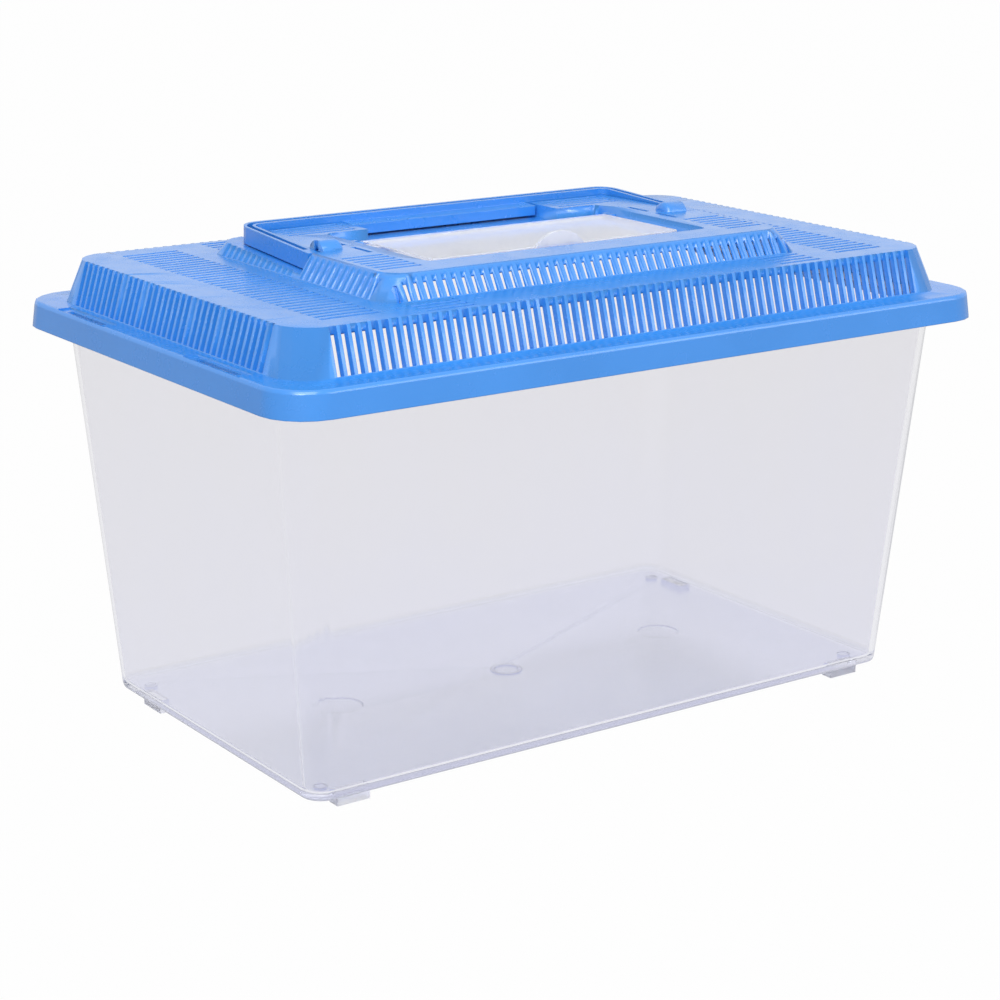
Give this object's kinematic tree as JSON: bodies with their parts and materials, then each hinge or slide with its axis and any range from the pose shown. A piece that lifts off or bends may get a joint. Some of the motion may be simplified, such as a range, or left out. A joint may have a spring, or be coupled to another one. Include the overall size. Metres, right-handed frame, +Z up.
{
  "type": "plastic aquarium",
  "caption": "Clear tapered plastic tank for small pets, with a slotted vented lid, a folding carry handle and a clear hinged feeding hatch.",
  "frame": {"origin": "centre of the footprint, on the plane that the feet stand on", "axes": "+X along the long side, +Z up, and the front, towards which the hatch's finger tab points, faces -Y"},
  "size_m": [0.3, 0.194, 0.1783],
  "materials": {
    "tub_plastic": "clear polystyrene, polished, with a faint cool tint",
    "lid_plastic": "bright blue opaque moulding, satin gloss",
    "handle_plastic": "bright blue opaque moulding, satin gloss",
    "hatch_plastic": "clear polystyrene, polished"
  },
  "bodies": {
    "tank": {"tank": "tub_plastic"},
    "lid": {"lid": "lid_plastic"},
    "handle": {"handle": "handle_plastic"},
    "hatch": {"hatch": "hatch_plastic"}
  },
  "joints": [
    {"name": "lid_lift", "type": "slide", "parent": "tank", "child": "lid", "axis": [0, 0, 1], "range_m": [0, 0.05]},
    {"name": "handle_fold", "type": "hinge", "parent": "lid", "child": "handle", "pos_m": [0, 0, 0.1728], "axis": [1, 0, 0], "range_deg": [0, 125]},
    {"name": "hatch_hinge", "type": "hinge", "parent": "lid", "child": "hatch", "pos_m": [0, 0.0126, 0.1717], "axis": [-1, 0, 0], "range_deg": [0, 150]}
  ]
}
